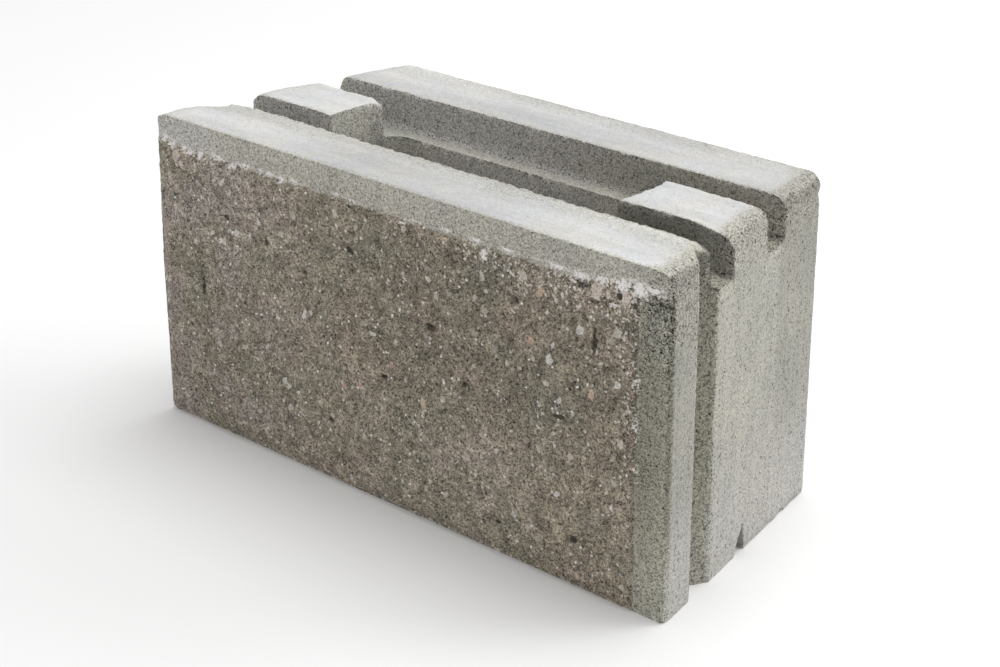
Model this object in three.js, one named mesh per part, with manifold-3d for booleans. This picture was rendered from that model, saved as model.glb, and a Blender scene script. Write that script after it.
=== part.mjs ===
// Hollow concrete walling block with a split front face, cast in one piece.
// Millimetres, +Z up. The origin is the middle of the base. +X is to the right of someone facing
// the split face, which looks towards -Y. The plan is a trapezoid, shorter at the back, so that
// blocks laid side by side can turn a curve.
import * as THREE from "three";
import { mergeVertices } from "three/addons/utils/BufferGeometryUtils.js";
import Module from "manifold-3d";

// Outside sizes.
const HEIGHT = 196;
const FRONT_LENGTH = 400;
const REAR_LENGTH = 328.5;
const MOULDED_DEPTH = 175;
const FRONT_CORNER_RADIUS = 4;
const REAR_CORNER_RADIUS = 3;
const END_TOP_RADIUS = 7;

// The split face stands proud of the moulded strips along its top and right edges, in a short
// bevel, and fades out towards the left and bottom edges, where it ends flush.
const SPLIT_PROUD = 4;
const TOP_STRIP = 16.3;
const RIGHT_STRIP = 20.8;
const SPLIT_BEVEL = 2.5;
const SPLIT_FADE = 14;

// The break itself: facets between points one to each corner of a square grid, shifted off it
// by up to this much each way, and proud of the strips by their own amounts between these two.
// The highest are cut off level at the split face's own limit.
const FACET_SIZE = 12;
const FACET_SHIFT = 4;
const BREAK_LOWEST = 1.4;
const BREAK_HIGHEST = 4.3;

// Section: two shells along the length, with a groove behind each at the top.
const SHELL_TOP_THICKNESS = 45.8;
const GROOVE_WIDTH = 21;
const GROOVE_DEPTH = 24;
const GROOVE_FLOOR_RADIUS = 8;

// One core through the full height, between the two end webs.
const CORE_LEFT = -115.5;
const CORE_RIGHT = 110;
const CORE_WIDTH = 63;
const CORE_LEFT_RADIUS = 14;
const CORE_RIGHT_RADIUS = 22;

// A vertical recess in each end, behind the front shell's flat end.
const RECESS_START = 28;
const RECESS_END = 51.5;
const RECESS_DEPTH = 9;
const RECESS_FLOOR = 39;
const RECESS_SOFTENING = 3;

// A narrow V notch in the bottom edge of the right end, open below.
const NOTCH_FRONT_LIP = 82;
const NOTCH_REAR_LIP = 94.5;
const NOTCH_APEX = 92;
const NOTCH_HEIGHT = 16;
const NOTCH_LENGTH = 16;

// Cutters run past the faces they cut, and the split face runs into the shell, by this much.
const OVERRUN = 20;
const ARC_SEGMENTS = 10;

const taper = Math.atan((FRONT_LENGTH - REAR_LENGTH) / 2 / MOULDED_DEPTH);
const endX = (y) => FRONT_LENGTH / 2 - y * Math.tan(taper);
const middleY = MOULDED_DEPTH / 2;
const halfReach = FRONT_LENGTH / 2 + OVERRUN;

const wasm = await Module();
wasm.setup();

// A closed three.js geometry as a solid for joining and cutting.
function solid(geometry, matrix = new THREE.Matrix4()) {
  const bare = geometry.clone();
  bare.deleteAttribute("normal");
  bare.deleteAttribute("uv");
  bare.applyMatrix4(matrix);
  const merged = mergeVertices(bare, 1e-4);
  return new wasm.Manifold(new wasm.Mesh({
    numProp: 3,
    vertProperties: new Float32Array(merged.attributes.position.array),
    triVerts: new Uint32Array(merged.index.array),
  }));
}

// A plan outline as a prism between two levels.
function prism(shape, bottom, top) {
  const options = { depth: top - bottom, bevelEnabled: false, curveSegments: ARC_SEGMENTS };
  const lift = new THREE.Matrix4().makeTranslation(0, 0, bottom);
  return solid(new THREE.ExtrudeGeometry(shape, options), lift);
}

// Stands a section drawn as (y, z) along X, from one x to another.
function alongX(shape, fromX, toX) {
  const options = { depth: toX - fromX, bevelEnabled: false, curveSegments: ARC_SEGMENTS };
  const stand = new THREE.Matrix4().makeBasis(
    new THREE.Vector3(0, 1, 0),
    new THREE.Vector3(0, 0, 1),
    new THREE.Vector3(1, 0, 0),
  );
  stand.setPosition(fromX, 0, 0);
  return solid(new THREE.ExtrudeGeometry(shape, options), stand);
}

// A closed outline through corners, each [x, y, radius], with round corners.
function roundedOutline(corners) {
  const shape = new THREE.Shape();
  corners.forEach(([x, y, radius], i) => {
    const corner = new THREE.Vector2(x, y);
    const [px, py] = corners.at(i - 1);
    const [nx, ny] = corners[(i + 1) % corners.length];
    const back = new THREE.Vector2(px, py).sub(corner).normalize();
    const ahead = new THREE.Vector2(nx, ny).sub(corner).normalize();
    const halfAngle = Math.acos(back.dot(ahead)) / 2;
    const reach = radius / Math.tan(halfAngle);
    const from = corner.clone().addScaledVector(back, reach);
    const to = corner.clone().addScaledVector(ahead, reach);
    if (i === 0) {
      shape.moveTo(from.x, from.y);
    } else {
      shape.lineTo(from.x, from.y);
    }
    if (radius > 0) {
      const towards = back.clone().add(ahead).normalize();
      const centre = corner.clone().addScaledVector(towards, radius / Math.sin(halfAngle));
      const start = Math.atan2(from.y - centre.y, from.x - centre.x);
      const stop = Math.atan2(to.y - centre.y, to.x - centre.x);
      const clockwise = back.cross(ahead) > 0;
      shape.absarc(centre.x, centre.y, radius, start, stop, clockwise);
    }
  });
  shape.closePath();
  return shape;
}

// A number from 0 to 1 for a grid point: its column and row times large primes, mixed by shifts.
function scrambled(column, row, seed) {
  let key = Math.imul(seed, 668265263) ^ Math.imul(column, 73856093) ^ Math.imul(row, 19349663);
  key = Math.imul(key ^ (key >>> 15), 2246822519);
  key = Math.imul(key ^ (key >>> 13), 3266489917);
  return ((key ^ (key >>> 16)) >>> 0) / 2 ** 32;
}

// A slab whose front is the break: a box with its front face in cells, and their corners moved.
function brokenSlab() {
  const columns = 2 * Math.ceil(halfReach / FACET_SIZE);
  const rows = Math.ceil(HEIGHT / FACET_SIZE) + 1;
  const size = [columns * FACET_SIZE, OVERRUN, rows * FACET_SIZE];
  const slab = new THREE.BoxGeometry(...size, columns, 1, rows);
  slab.translate(0, OVERRUN / 2, (rows / 2 - 1) * FACET_SIZE);
  const places = slab.attributes.position;
  for (let i = 0; i < places.count; i += 1) {
    const column = Math.round(places.getX(i) / FACET_SIZE);
    const row = Math.round(places.getZ(i) / FACET_SIZE);
    const [across, up, level] = [1, 2, 3].map((seed) => scrambled(column, row, seed));
    if (places.getY(i) < OVERRUN / 2) {
      places.setX(i, column * FACET_SIZE + (2 * across - 1) * FACET_SHIFT);
      places.setY(i, -THREE.MathUtils.lerp(BREAK_LOWEST, BREAK_HIGHEST, level));
      places.setZ(i, row * FACET_SIZE + (2 * up - 1) * FACET_SHIFT);
    }
  }
  return solid(slab);
}

// Plan of the moulded body, corner by corner, with the recess in each end.
const endCorners = [
  [endX(0), 0, FRONT_CORNER_RADIUS],
  [endX(RECESS_START), RECESS_START, RECESS_SOFTENING],
  [endX(RECESS_FLOOR) - RECESS_DEPTH, RECESS_FLOOR, RECESS_SOFTENING],
  [endX(RECESS_END), RECESS_END, RECESS_SOFTENING],
  [endX(MOULDED_DEPTH), MOULDED_DEPTH, REAR_CORNER_RADIUS],
];
const mirrored = endCorners.map(([x, y, radius]) => [-x, y, radius]).reverse();
let block = prism(roundedOutline([...endCorners, ...mirrored]), 0, HEIGHT);

// The split face: its plan, with a sharp left corner, crossed with its section and the break.
const splitTop = HEIGHT - TOP_STRIP;
const splitRight = FRONT_LENGTH / 2 - RIGHT_STRIP;
const splitLeft = -block.boundingBox().max[0];
const splitOutline = new THREE.Shape();
splitOutline.moveTo(0, OVERRUN);
splitOutline.lineTo(splitLeft, FRONT_CORNER_RADIUS);
splitOutline.lineTo(splitLeft, 0);
splitOutline.lineTo(splitLeft + SPLIT_FADE, -SPLIT_PROUD);
splitOutline.lineTo(splitRight - SPLIT_BEVEL, -SPLIT_PROUD);
splitOutline.lineTo(splitRight, 0);
splitOutline.lineTo(splitRight, FRONT_CORNER_RADIUS);
const splitProfile = new THREE.Shape();
splitProfile.moveTo(OVERRUN, 0);
splitProfile.lineTo(OVERRUN, splitTop);
splitProfile.lineTo(0, splitTop);
splitProfile.lineTo(-SPLIT_PROUD, splitTop - SPLIT_BEVEL);
splitProfile.lineTo(-SPLIT_PROUD, SPLIT_FADE);
splitProfile.lineTo(0, 0);

const splitSection = alongX(splitProfile, -halfReach, halfReach);
const splitPanel = prism(splitOutline, 0, splitTop).intersect(splitSection);
block = block.add(splitPanel.intersect(brokenSlab()));

// The core, through the full height.
const coreFront = middleY - CORE_WIDTH / 2;
const coreRear = middleY + CORE_WIDTH / 2;
const coreOutline = roundedOutline([
  [CORE_LEFT, coreFront, CORE_LEFT_RADIUS],
  [CORE_RIGHT, coreFront, CORE_RIGHT_RADIUS],
  [CORE_RIGHT, coreRear, CORE_RIGHT_RADIUS],
  [CORE_LEFT, coreRear, CORE_LEFT_RADIUS],
]);
block = block.subtract(prism(coreOutline, -OVERRUN, HEIGHT + OVERRUN));

// The two top grooves, with rounded floors, right through both ends.
const grooveFronts = [SHELL_TOP_THICKNESS, MOULDED_DEPTH - SHELL_TOP_THICKNESS - GROOVE_WIDTH];
for (const front of grooveFronts) {
  const section = roundedOutline([
    [front, HEIGHT - GROOVE_DEPTH, GROOVE_FLOOR_RADIUS],
    [front + GROOVE_WIDTH, HEIGHT - GROOVE_DEPTH, GROOVE_FLOOR_RADIUS],
    [front + GROOVE_WIDTH, HEIGHT + OVERRUN, 0],
    [front, HEIGHT + OVERRUN, 0],
  ]);
  block = block.subtract(alongX(section, -halfReach, halfReach));
}

// The top edge of each end is rounded over: a square bar less a quarter round.
const edgeSection = new THREE.Shape();
edgeSection.moveTo(0, -END_TOP_RADIUS);
edgeSection.absarc(-END_TOP_RADIUS, -END_TOP_RADIUS, END_TOP_RADIUS, 0, Math.PI / 2, false);
edgeSection.lineTo(-END_TOP_RADIUS, OVERRUN);
edgeSection.lineTo(OVERRUN, OVERRUN);
edgeSection.lineTo(OVERRUN, -END_TOP_RADIUS);
for (const side of [1, -1]) {
  const along = new THREE.Vector3(-side * Math.sin(taper), Math.cos(taper), 0);
  const outward = new THREE.Vector3(side * Math.cos(taper), Math.sin(taper), 0);
  const up = new THREE.Vector3(0, 0, 1);
  const bar = new THREE.Matrix4().makeBasis(outward, up, outward.clone().cross(up));
  const length = MOULDED_DEPTH + 2 * OVERRUN;
  const startAt = bar.clone().setPosition(
    new THREE.Vector3(side * endX(middleY), middleY, HEIGHT).addScaledVector(along, side * length / 2),
  );
  const options = { depth: length, bevelEnabled: false, curveSegments: ARC_SEGMENTS };
  block = block.subtract(solid(new THREE.ExtrudeGeometry(edgeSection, options), startAt));
}

// The V notch under the right end.
const notch = new THREE.Shape();
notch.moveTo(NOTCH_APEX, NOTCH_HEIGHT);
notch.lineTo(NOTCH_FRONT_LIP, 0);
notch.lineTo(NOTCH_FRONT_LIP, -OVERRUN);
notch.lineTo(NOTCH_REAR_LIP, -OVERRUN);
notch.lineTo(NOTCH_REAR_LIP, 0);
const notchInner = endX(NOTCH_APEX) - NOTCH_LENGTH;
block = block.subtract(alongX(notch, notchInner, halfReach));

// Back to three.js: flat-shaded faces, with the origin moved to the middle of the base.
const cut = block.getMesh();
const geometry = new THREE.BufferGeometry();
geometry.setAttribute("position", new THREE.BufferAttribute(new Float32Array(cut.vertProperties), 3));
geometry.setIndex(new THREE.BufferAttribute(new Uint32Array(cut.triVerts), 1));
geometry.translate(0, (SPLIT_PROUD - MOULDED_DEPTH) / 2, 0);
geometry.computeVertexNormals();

const concrete = new THREE.MeshStandardMaterial({
  name: "concrete",
  color: 0x9b9990,
  roughness: 0.95,
  metalness: 0,
});
const mesh = new THREE.Mesh(geometry, concrete);
mesh.name = "block";

const part = new THREE.Group();
part.name = "walling_block";
part.add(mesh);

export default part;
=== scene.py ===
import math

import bmesh
import bpy
import numpy as np
from mathutils import Matrix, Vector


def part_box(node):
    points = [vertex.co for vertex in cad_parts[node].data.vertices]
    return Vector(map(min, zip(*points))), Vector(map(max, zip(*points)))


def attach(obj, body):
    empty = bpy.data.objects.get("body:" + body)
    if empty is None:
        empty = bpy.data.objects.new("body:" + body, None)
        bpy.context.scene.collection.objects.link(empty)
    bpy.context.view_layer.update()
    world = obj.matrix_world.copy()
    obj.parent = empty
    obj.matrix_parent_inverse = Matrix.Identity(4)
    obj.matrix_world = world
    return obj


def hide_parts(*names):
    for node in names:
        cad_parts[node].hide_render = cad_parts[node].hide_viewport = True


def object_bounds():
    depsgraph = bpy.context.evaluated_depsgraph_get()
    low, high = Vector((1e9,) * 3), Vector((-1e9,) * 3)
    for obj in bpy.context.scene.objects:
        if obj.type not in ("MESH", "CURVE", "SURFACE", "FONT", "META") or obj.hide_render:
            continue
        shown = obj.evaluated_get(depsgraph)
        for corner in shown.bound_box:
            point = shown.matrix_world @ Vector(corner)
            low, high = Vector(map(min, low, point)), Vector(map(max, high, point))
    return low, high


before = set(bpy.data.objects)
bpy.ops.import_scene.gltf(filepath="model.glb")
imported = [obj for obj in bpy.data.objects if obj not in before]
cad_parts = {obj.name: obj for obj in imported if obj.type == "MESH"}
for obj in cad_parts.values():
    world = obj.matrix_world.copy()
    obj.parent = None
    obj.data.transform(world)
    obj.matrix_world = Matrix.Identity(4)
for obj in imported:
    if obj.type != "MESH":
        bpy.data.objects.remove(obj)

cad_box = [list(corner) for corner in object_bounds()]

# ----------------------------------------
# The block: one hollow casting of dry-tamped concrete, struck at once from a steel mould and
# later split along its front. Lengths are millimetres until the mesh is made, and depths run
# from the smooth strips of the front towards the back.
# ----------------------------------------
MM = 0.001
low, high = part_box("block")
HEIGHT = high.z / MM
DEPTH = 175.0
SPLIT_PROUD = (high.y - low.y) / MM - DEPTH
FRONT_LENGTH = 400.0
REAR_LENGTH = 328.5
TAPER = (FRONT_LENGTH - REAR_LENGTH) / 2 / DEPTH
FRONT_CORNER_RADIUS = 4.0
REAR_CORNER_RADIUS = 3.0
END_TOP_RADIUS = 7.0

SHELL_THICKNESS = 45.8
REAR_SHELL = DEPTH - SHELL_THICKNESS
GROOVE_WIDTH = 21.0
GROOVE_DEPTH = 24.0
GROOVE_FLOOR_RADIUS = 4.5  # tighter than the solid's 8
WALL_FOOT = HEIGHT - GROOVE_DEPTH + GROOVE_FLOOR_RADIUS
GROOVE_FRONT = SHELL_THICKNESS, REAR_SHELL - GROOVE_WIDTH
WEB_FRONT = SHELL_THICKNESS + GROOVE_WIDTH
WEB_REAR = DEPTH - WEB_FRONT

CORE_LEFT, CORE_RIGHT = -115.5, 110.0
CORE_WIDTH = 63.0
CORE_FRONT, CORE_REAR = (DEPTH - CORE_WIDTH) / 2, (DEPTH + CORE_WIDTH) / 2
CORE_LEFT_RADIUS, CORE_RIGHT_RADIUS = 14.0, 22.0

RECESS_START, RECESS_FLOOR, RECESS_END = 28.0, 39.0, 51.5
RECESS_DEPTH = 9.0
RECESS_SOFTENING = 3.0

NOTCH_FRONT_LIP, NOTCH_APEX, NOTCH_REAR_LIP = 82.0, 92.0, 94.5
NOTCH_HEIGHT = 16.0
NOTCH_LENGTH = 16.0
NOTCH_BACK = 2.0

SPLIT_TOP = HEIGHT - 16.3
SPLIT_RIGHT = FRONT_LENGTH / 2 - 20.8

# How far apart the sampled points lie: along the length, front to back, and up the core, and
# the least gap between two depths.
FINE_STEP = 1.25
DEPTH_STEP = 2.3
CORE_STEP = 4.0
LEAST_GAP = 0.3


def end_line(y):
    """Half the length at a depth: the straight, tapered end, before the recess is cut."""
    return FRONT_LENGTH / 2 - TAPER * y


def rounded_line(corners, count=8):
    """Plan points of an open line through corners (x, y, radius). Each corner is an arc that
    touches both of its sides: spokes from the arc's centre, turned evenly and set to length."""
    points = [np.array([corners[0][:2]])]
    for before, (x, y, radius), after in zip(corners, corners[1:-1], corners[2:]):
        corner = np.array([x, y])
        ways = [np.array(other[:2]) - corner for other in (before, after)]
        back, ahead = [way / np.linalg.norm(way) for way in ways]
        half = math.acos(back @ ahead) / 2
        inward = (back + ahead) / np.linalg.norm(back + ahead)
        centre = corner + inward * radius / math.sin(half)
        spokes = [corner + way * radius / math.tan(half) - centre for way in (back, ahead)]
        share = np.linspace(0, 1, count)[:, None]
        arc = spokes[0] * (1 - share) + spokes[1] * share
        points.append(centre + radius * arc / np.linalg.norm(arc, axis=1, keepdims=True))
    points.append(np.array([corners[-1][:2]]))
    return np.concatenate(points)


end_outline = rounded_line([
    (FRONT_LENGTH / 4, 0, 0),
    (end_line(0), 0, FRONT_CORNER_RADIUS),
    (end_line(RECESS_START), RECESS_START, RECESS_SOFTENING),
    (end_line(RECESS_FLOOR) - RECESS_DEPTH, RECESS_FLOOR, RECESS_SOFTENING),
    (end_line(RECESS_END), RECESS_END, RECESS_SOFTENING),
    (end_line(DEPTH), DEPTH, REAR_CORNER_RADIUS),
    (FRONT_LENGTH / 4, DEPTH, 0),
])[1:-1]


def end_wall(y):
    """Half the length at a depth, with the recess and the round corners: the end's outline
    read off between its points. The two ends are mirror images."""
    return np.interp(y, end_outline[:, 1], end_outline[:, 0])


LEFT_WALL = CORE_LEFT, 1, CORE_LEFT_RADIUS
RIGHT_WALL = CORE_RIGHT, -1, CORE_RIGHT_RADIUS


def core_wall(y, end, inward, radius):
    """x of the core's left or right wall at a depth: a straight wall that turns inward through
    a quarter round towards the core's front and rear."""
    beyond = np.clip(np.maximum(CORE_FRONT + radius - y, y - CORE_REAR + radius), 0, radius)
    return end + inward * (radius - np.sqrt(radius**2 - beyond**2))


# Corners of the tops that have worn down: x, y, reach and depth at the corner.
WORN_CORNERS = (
    (-189, 47, 32, 3.0), (-200, 0, 16, 2.5), (190, 47, 26, 0.6), (200, 0, 14, 1.0),
    (-184, 66, 9, 0.8), (-178, 109, 16, 1.2), (186, 67, 32, 4.5), (178, 108, 14, 2.5),
    (-173, 129, 9, 0.8), (-164, 175, 12, 0.8), (173, 129, 14, 1.4), (164, 175, 9, 0.4),
    (-115, 108, 9, 3.0), (-116, 67, 7, 1.2), (106, 67, 6, 0.8), (-145, 109, 7, 1.0),
)


def top_height(x, y):
    """Height of the tops: flat, falling in a quarter round over each end and its recess, and
    falling away ever more steeply towards each worn corner."""
    outer = np.where(y < RECESS_START - RECESS_SOFTENING, end_line(y), end_wall(y))
    sunk = np.clip(END_TOP_RADIUS - outer + np.abs(x), 0, END_TOP_RADIUS)
    height = HEIGHT - END_TOP_RADIUS + np.sqrt(END_TOP_RADIUS**2 - sunk**2)
    for corner_x, corner_y, reach, depth in WORN_CORNERS:
        near = np.clip(1 - np.hypot(x - corner_x, y - corner_y) / reach, 0, 1)
        height = height - depth * near**1.5
    return height


GROOVE_END_REACH, GROOVE_END_DROP = 11.0, 0.15


def floor_height(x, y):
    """Height of a groove's floor: flat, with a quarter round up to each wall, and falling away
    more and more steeply near each end. Outside the grooves it is the walls' feet's level."""
    height = np.full(np.broadcast(x, y).shape, WALL_FOOT)
    for front in GROOVE_FRONT:
        from_wall = np.clip(np.minimum(y - front, front + GROOVE_WIDTH - y), 0, None)
        sunk = np.clip(GROOVE_FLOOR_RADIUS - from_wall, 0, None)
        drop = np.sqrt(GROOVE_FLOOR_RADIUS**2 - sunk**2)
        height = height - np.where(from_wall > 0, drop, 0)
    near_end = np.clip(1 - (end_line(y) - np.abs(x)) / GROOVE_END_REACH, 0, 1)
    return WALL_FOOT - (WALL_FOOT - height) * (1 + GROOVE_END_DROP * near_end**1.5)


def base_height(x, y):
    """Height of the underside: flat, but for the V notch that runs in from the right end and
    stops at a steep back."""
    lips = [NOTCH_FRONT_LIP, NOTCH_APEX, NOTCH_REAR_LIP]
    cut = np.interp(y, lips, [0, NOTCH_HEIGHT, 0])
    from_right = end_line(y) - x
    return cut * np.clip((NOTCH_LENGTH - from_right) / NOTCH_BACK, 0, 1)


def steps(start, end, gap):
    """Places from start to end, evenly spread at about the gap."""
    return np.linspace(start, end, max(2, round(abs(end - start) / gap) + 1))


def quarter(radius, count):
    """Places of a quarter round's points across its radius, close together where it is steep."""
    return radius * (1 - np.cos(np.linspace(0, math.pi / 2, count)))


# The depths at which the surfaces are sampled: close together in the rounds, and on each arris.
fillet = quarter(GROOVE_FLOOR_RADIUS, 6)
core_round = np.concatenate([quarter(CORE_LEFT_RADIUS, 8), quarter(CORE_RIGHT_RADIUS, 8)])
arc_end = FRONT_CORNER_RADIUS * (1 + math.sin(math.atan(TAPER)))
front_half = np.concatenate([
    quarter(FRONT_CORNER_RADIUS, 5)[:-1],
    steps(arc_end, RECESS_START - 2, DEPTH_STEP),
    steps(RECESS_START - 1, RECESS_START + 2, 1),
    steps(RECESS_START + 4, RECESS_FLOOR - 2, 1.6),
    steps(RECESS_FLOOR - 1, RECESS_FLOOR + 2, 1),
    steps(RECESS_FLOOR + 4, SHELL_THICKNESS, 1.4),
    SHELL_THICKNESS + fillet,
    WEB_FRONT - fillet,
    CORE_FRONT + core_round,
    steps(RECESS_END + 1, CORE_FRONT, 1.5),
    [RECESS_END - 1, RECESS_END, RECESS_END + 0.6],
    steps(CORE_FRONT + CORE_RIGHT_RADIUS, DEPTH / 2, DEPTH_STEP),
])
rear_half = np.concatenate([
    steps(DEPTH / 2, CORE_REAR - CORE_RIGHT_RADIUS, DEPTH_STEP),
    [NOTCH_FRONT_LIP, NOTCH_APEX, NOTCH_REAR_LIP],
    CORE_REAR - core_round,
    WEB_REAR + fillet,
    steps(CORE_REAR + 1, REAR_SHELL - GROOVE_FLOOR_RADIUS, 1.5),
    REAR_SHELL - fillet,
    steps(REAR_SHELL, DEPTH - REAR_CORNER_RADIUS, DEPTH_STEP),
    DEPTH - quarter(REAR_CORNER_RADIUS, 4),
])
depths = np.unique(np.round(np.concatenate([front_half, rear_half]), 3))
ARRISES = 0, SHELL_THICKNESS, CORE_FRONT, WEB_FRONT, WEB_REAR, CORE_REAR, REAR_SHELL, DEPTH
crowded = np.diff(depths, prepend=-1) < LEAST_GAP
depths = depths[~crowded | np.isin(depths, ARRISES)]


def between(first, last):
    """The sampled depths from one arris to another."""
    return depths[(depths >= first - 0.01) & (depths <= last + 0.01)][:, None]


def from_end(y, inner, count):
    """Distances from the middle along rows at depths y: close steps over the end's rounded top
    edge, then even steps to an inner limit."""
    outer = end_wall(y) - quarter(END_TOP_RADIUS, 7)
    share = np.linspace(0, 1, count + 1)[1:]
    return np.concatenate([outer, outer[:, -1:] + (inner - outer[:, -1:]) * share], axis=1)


core_span = steps(CORE_LEFT + CORE_LEFT_RADIUS, CORE_RIGHT - CORE_RIGHT_RADIUS, FINE_STEP)
LEFT_COUNT = round((FRONT_LENGTH / 2 + core_span[0]) / FINE_STEP)
RIGHT_COUNT = round((FRONT_LENGTH / 2 - core_span[-1]) / FINE_STEP)


def left_rows(y):
    """x along rows from the left end to the core."""
    return -from_end(y, -core_wall(y, *LEFT_WALL), LEFT_COUNT)


def right_rows(y):
    """x along rows from the core to the right end."""
    return from_end(y, core_wall(y, *RIGHT_WALL), RIGHT_COUNT)[:, ::-1]


def whole_rows(y):
    """x along rows from end to end, in front of the core or behind it."""
    return np.concatenate([
        -from_end(y, -core_span[0], LEFT_COUNT),
        np.broadcast_to(core_span[1:-1], (len(y), len(core_span) - 2)),
        from_end(y, core_span[-1], RIGHT_COUNT)[:, ::-1],
    ], axis=1)


def lying(y, rows, height):
    """A level surface: rows of points at depths y, each at its own height."""
    x = rows(y)
    return np.stack(np.broadcast_arrays(x, y, height(x, y)), axis=-1)


def standing(x, y, foot, top, share):
    """A wall over a line of plan points: each row is a share of the way from foot to top."""
    x, y, z = np.broadcast_arrays(x, y, foot + (top - foot) * share[:, None])
    return np.stack([x, y, z], axis=-1)


# Shares of the way up a wall: below the walls' feet, above them, and in the core.
LOWER = steps(0, 1, FINE_STEP / WALL_FOOT)
UPPER = steps(0, 1, FINE_STEP / (HEIGHT - WALL_FOOT))
CORE = steps(0, 1, CORE_STEP / WALL_FOOT)

# Level surfaces: the tops, the grooves' floors with the ledges, and the underside.
shells = (0, SHELL_THICKNESS), (REAR_SHELL, DEPTH)
surfaces = []
for first, last in shells:
    surfaces.append(lying(between(first, last), whole_rows, top_height))
for first, last in ((SHELL_THICKNESS, CORE_FRONT), (CORE_REAR, REAR_SHELL)):
    surfaces.append(lying(between(first, last), whole_rows, floor_height))
for first, last in ((0, CORE_FRONT), (CORE_REAR, DEPTH)):
    surfaces.append(lying(between(first, last), whole_rows, base_height))
for rows in (left_rows, right_rows):
    surfaces.append(lying(between(WEB_FRONT, WEB_REAR), rows, top_height))
    surfaces.append(lying(between(CORE_FRONT, WEB_FRONT), rows, floor_height))
    surfaces.append(lying(between(WEB_REAR, CORE_REAR), rows, floor_height))
    surfaces.append(lying(between(CORE_FRONT, CORE_REAR), rows, base_height))

# Walls along the length, front to back. Those in the grooves stand on the floors' edges.
for y in (0, SHELL_THICKNESS, REAR_SHELL, DEPTH):
    x = whole_rows(np.array([[y]]))
    surfaces.append(standing(x, y, WALL_FOOT, top_height(x, y), UPPER))
    if y in (0, DEPTH):
        surfaces.append(standing(x, y, 0, WALL_FOOT, LOWER))
for y in (WEB_FRONT, WEB_REAR):
    for rows in (left_rows, right_rows):
        x = rows(np.array([[y]]))
        surfaces.append(standing(x, y, WALL_FOOT, top_height(x, y), UPPER))
for y in (CORE_FRONT, CORE_REAR):
    surfaces.append(standing(core_span, y, 0, floor_height(core_span, y), CORE))

# Walls across the ends and the core's round ends.
for side in (-1, 1):
    y = depths
    x = side * end_wall(y)
    surfaces.append(standing(x, y, base_height(x, y), floor_height(x, y), LOWER))
    for first, last in (*shells, (WEB_FRONT, WEB_REAR)):
        y = between(first, last).T
        x = side * end_wall(y)
        surfaces.append(standing(x, y, WALL_FOOT, top_height(x, y), UPPER))
for wall in (LEFT_WALL, RIGHT_WALL):
    y = between(CORE_FRONT, CORE_REAR).T
    x = core_wall(y, *wall)
    surfaces.append(standing(x, y, 0, floor_height(x, y), CORE))
    y = between(WEB_FRONT, WEB_REAR).T
    x = core_wall(y, *wall)
    surfaces.append(standing(x, y, WALL_FOOT, top_height(x, y), UPPER))


def put_into(mesh, grids):
    """Fills a mesh with grids of points: each cell between four neighbours is a face."""
    points = np.concatenate([grid.reshape(-1, 3) for grid in grids])
    starts = np.cumsum([0] + [grid.shape[0] * grid.shape[1] for grid in grids])
    cells = []
    for start, grid in zip(starts, grids):
        index = start + np.arange(grid.shape[0] * grid.shape[1]).reshape(grid.shape[:2])
        ring = index[:-1, :-1], index[:-1, 1:], index[1:, 1:], index[1:, :-1]
        cells.append(np.stack(ring, axis=-1).reshape(-1, 4))
    cells = np.concatenate(cells)
    mesh.vertices.add(len(points))
    mesh.vertices.foreach_set("co", points.ravel())
    mesh.loops.add(cells.size)
    mesh.loops.foreach_set("vertex_index", cells.ravel())
    mesh.polygons.add(len(cells))
    mesh.polygons.foreach_set("loop_start", np.arange(0, cells.size, 4))
    mesh.update(calc_edges=True)


MERGE_WITHIN = 0.02
mesh = bpy.data.meshes.new("cast_block")
put_into(mesh, surfaces)
joined = bmesh.new()
joined.from_mesh(mesh)
bmesh.ops.remove_doubles(joined, verts=joined.verts, dist=MERGE_WITHIN)
bmesh.ops.recalc_face_normals(joined, faces=joined.faces)
joined.to_mesh(mesh)
joined.free()


# ----------------------------------------
# The block's relief: the faces as the mould left them, slightly wavy and sandy; arrises that
# crumbled when the block was pushed out; and the front, split through mortar and stones.
# ----------------------------------------
def scrambled(cell, seed):
    """A number from 0 to 1 for each lattice cell: its three whole numbers times large primes,
    folded together and mixed by shifts."""
    key = np.uint32(seed * 668265263 % 2**32)
    for axis, prime in enumerate((73856093, 19349663, 83492791)):
        key = key ^ (cell[..., axis] & 0xFFFFFFFF).astype(np.uint32) * np.uint32(prime)
    key = (key ^ key >> np.uint32(15)) * np.uint32(2246822519)
    key = (key ^ key >> np.uint32(13)) * np.uint32(3266489917)
    return (key ^ key >> np.uint32(16)) / 2**32


# The noise's lattice is turned, so that no face of the block lies along one of its planes.
TURN = np.array(Matrix.Rotation(0.7, 3, (1, 2, 3)))


def noise(points, size, seed):
    """Smooth noise from -1 to 1: a random value at each corner of a turned cubic lattice of
    this size, blended along each axis by an s-curve."""
    place = points @ TURN / size
    cell = np.floor(place).astype(np.int64)
    share = place - cell
    share = share * share * (3 - 2 * share)
    total = np.zeros(len(points))
    for corner in np.ndindex(2, 2, 2):
        weight = np.prod(np.where(corner, share, 1 - share), axis=-1)
        total += weight * scrambled(cell + corner, seed)
    return 2 * total - 1


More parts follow.
